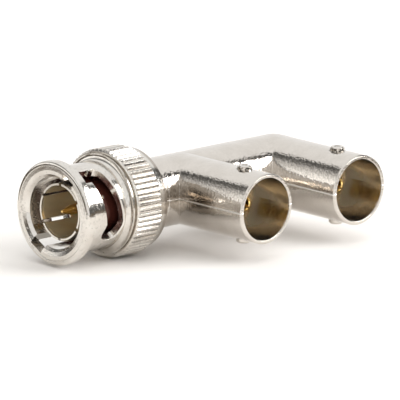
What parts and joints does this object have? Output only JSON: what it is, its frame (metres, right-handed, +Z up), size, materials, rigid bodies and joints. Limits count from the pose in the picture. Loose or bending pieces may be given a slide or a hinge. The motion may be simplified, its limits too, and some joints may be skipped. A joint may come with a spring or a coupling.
{
  "type": "bayonet coaxial f adapter",
  "caption": "Coaxial adapter: a stem with a bayonet plug and knurled coupling nut at one end, and parallel bayonet jacks at right angles to it, the last on a mitred elbow.",
  "frame": {"origin": "centre of the plug's outer contact at its tip, the plane where a mating jack bottoms", "axes": "+X along the stem from the plug's mouth to the elbow, both jacks open towards -Y, +Z up through the upper bayonet lugs"},
  "size_m": [0.0458, 0.0241, 0.0148],
  "materials": {
    "nickel_cast": "nickel plate on a fine-grained casting",
    "nickel_turned": "nickel plate on turned brass",
    "gold": "gold plate",
    "copper_alloy": "bare drawn rod",
    "dielectric": "white insulating plastic",
    "silicone": "soft red-brown gasket",
    "spring_steel": "spring strip"
  },
  "bodies": {
    "adapter": {"adapter_body": "nickel_cast", "plug_body": "nickel_turned", "plug_insulator": "dielectric", "plug_pin": "gold", "centre_conductor": "copper_alloy", "stem_tube": "dielectric", "link_tube": "dielectric", "jack_1_insulator": "dielectric", "jack_1_contact": "gold", "jack_1_rear_cap": "nickel_turned", "jack_2_insulator": "dielectric", "jack_2_contact": "gold", "jack_2_rear_cap": "nickel_turned", "gasket": "silicone", "spring_washer": "spring_steel"},
    "washer": {"thrust_washer": "spring_steel"},
    "nut": {"coupling_nut": "nickel_turned"}
  },
  "joints": [
    {"name": "nut_float", "type": "slide", "parent": "adapter", "child": "washer", "axis": [-1, 0, 0], "range_m": [0, 0.0004], "stiffness_N_per_m": 2000, "deforming": ["spring_washer"]},
    {"name": "nut_spin", "type": "hinge", "parent": "washer", "child": "nut", "pos_m": [0, 0, 0], "axis": [1, 0, 0], "continuous": true}
  ]
}
